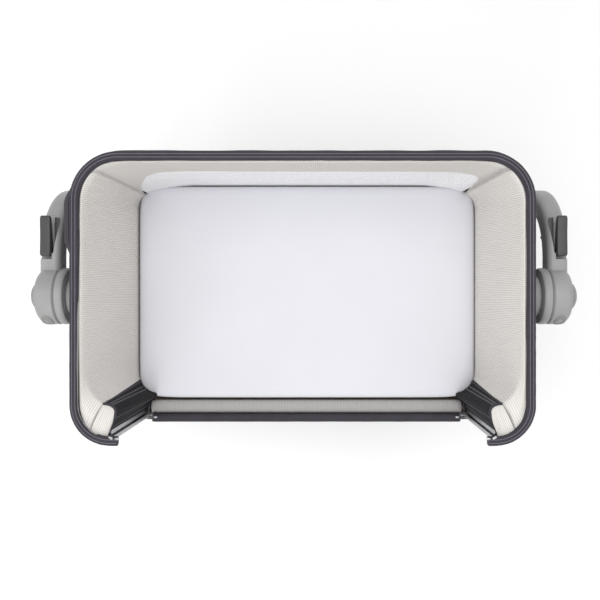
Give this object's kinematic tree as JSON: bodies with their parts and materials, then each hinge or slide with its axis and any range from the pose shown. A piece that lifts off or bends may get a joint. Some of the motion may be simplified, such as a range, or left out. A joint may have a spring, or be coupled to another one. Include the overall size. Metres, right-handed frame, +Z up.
{
  "type": "bedside crib",
  "caption": "Fabric bedside crib with a drop-down front, mattress and mesh back window, hung in side hubs between telescopic legs with castor wheels at the rear.",
  "frame": {"origin": "on the floor at the centre of the footprint", "axes": "+X along the crib to the right as seen from the open front, +Y to the mesh back, +Z up"},
  "size_m": [1.1162, 0.575, 0.76],
  "materials": {
    "binding": "woven polyester binding",
    "cover": "woven melange polyester",
    "lining": "ribbed knit, padded",
    "mesh": "fine warp-knitted mesh",
    "sheet": "smooth cotton jersey",
    "shell": "satin moulded",
    "dark_plastic": "fine textured",
    "painted_tube": "satin powder coat",
    "aluminium": "anodised",
    "steel": "zinc plated",
    "board": "plain fibreboard",
    "rubber": "matt"
  },
  "bodies": {
    "base": {"foot_left": "shell", "foot_right": "shell", "foot_pad_left": "rubber", "foot_pad_right": "rubber", "sleeve_left": "painted_tube", "sleeve_right": "painted_tube", "sleeve_collar_left": "dark_plastic", "sleeve_collar_right": "dark_plastic", "wheel_axle_left": "steel", "wheel_axle_right": "steel", "crossbar": "aluminium"},
    "carriage": {"arm_left": "shell", "arm_right": "shell", "hub_ring_left": "shell", "hub_ring_right": "shell", "column_left": "aluminium", "column_right": "aluminium", "lock_latch_left": "dark_plastic", "lock_latch_right": "dark_plastic", "release_rod_left": "steel", "release_rod_right": "steel", "lever_pin_left": "steel", "lever_pin_right": "steel", "spring_washer_left": "steel", "spring_washer_right": "steel"},
    "basket": {"rim_tube": "painted_tube", "base_tube": "painted_tube", "rim_binding": "binding", "outer_cover": "cover", "bottom_cover": "cover", "mattress": "sheet", "back_padding": "lining", "window_mesh": "mesh", "front_lining": "lining", "front_skirt": "cover", "rear_post_left": "painted_tube", "rear_post_right": "painted_tube", "guide_rail_left": "aluminium", "guide_rail_right": "aluminium", "hub_bracket_left": "painted_tube", "hub_bracket_right": "painted_tube", "hub_axle_left": "steel", "hub_axle_right": "steel", "hub_disc_left": "shell", "hub_disc_right": "shell", "base_board_left": "board", "base_board_right": "board", "side_padding_left": "lining", "side_padding_right": "lining"},
    "front_rail": {"front_rail": "painted_tube", "front_binding": "binding", "front_slider_left": "dark_plastic", "front_slider_right": "dark_plastic"},
    "release_lever_left": {"release_lever_left": "dark_plastic"},
    "release_lever_right": {"release_lever_right": "dark_plastic"},
    "lock_button_left": {"lock_button_left": "shell"},
    "lock_button_right": {"lock_button_right": "shell"},
    "rear_wheel_left": {"rear_wheel_left": "rubber"},
    "rear_wheel_right": {"rear_wheel_right": "rubber"}
  },
  "joints": [
    {"name": "height_slide", "type": "slide", "parent": "base", "child": "carriage", "axis": [0, 0, 1], "range_m": [-0.096, 0.064]},
    {"name": "basket_rock", "type": "hinge", "parent": "carriage", "child": "basket", "pos_m": [0, 0.005, 0.66], "axis": [1, 0, 0], "range_deg": [-12, 12]},
    {"name": "front_rail_slide", "type": "slide", "parent": "basket", "child": "front_rail", "axis": [0, 0, 1], "range_m": [0, 0.2615], "deforming": ["front_lining", "front_skirt"]},
    {"name": "lever_press_left", "type": "hinge", "parent": "carriage", "child": "release_lever_left", "pos_m": [-0.5171, 0.092, 0.678], "axis": [-1, 0, 0], "range_deg": [0, 6.5], "stiffness_Nm_per_rad": 1, "springref_deg": -8.59},
    {"name": "button_press_left", "type": "slide", "parent": "carriage", "child": "lock_button_left", "axis": [1, 0, 0], "range_m": [0, 0.006], "stiffness_N_per_m": 1500, "springref_m": -0.002},
    {"name": "wheel_roll_left", "type": "hinge", "parent": "base", "child": "rear_wheel_left", "pos_m": [-0.5171, 0.262, 0.024], "axis": [1, 0, 0], "continuous": true},
    {"name": "lever_press_right", "type": "hinge", "parent": "carriage", "child": "release_lever_right", "pos_m": [0.5171, 0.092, 0.678], "axis": [-1, 0, 0], "range_deg": [0, 6.5], "stiffness_Nm_per_rad": 1, "springref_deg": -8.59},
    {"name": "button_press_right", "type": "slide", "parent": "carriage", "child": "lock_button_right", "axis": [-1, 0, 0], "range_m": [0, 0.006], "stiffness_N_per_m": 1500, "springref_m": -0.002},
    {"name": "wheel_roll_right", "type": "hinge", "parent": "base", "child": "rear_wheel_right", "pos_m": [0.5171, 0.262, 0.024], "axis": [1, 0, 0], "continuous": true}
  ]
}
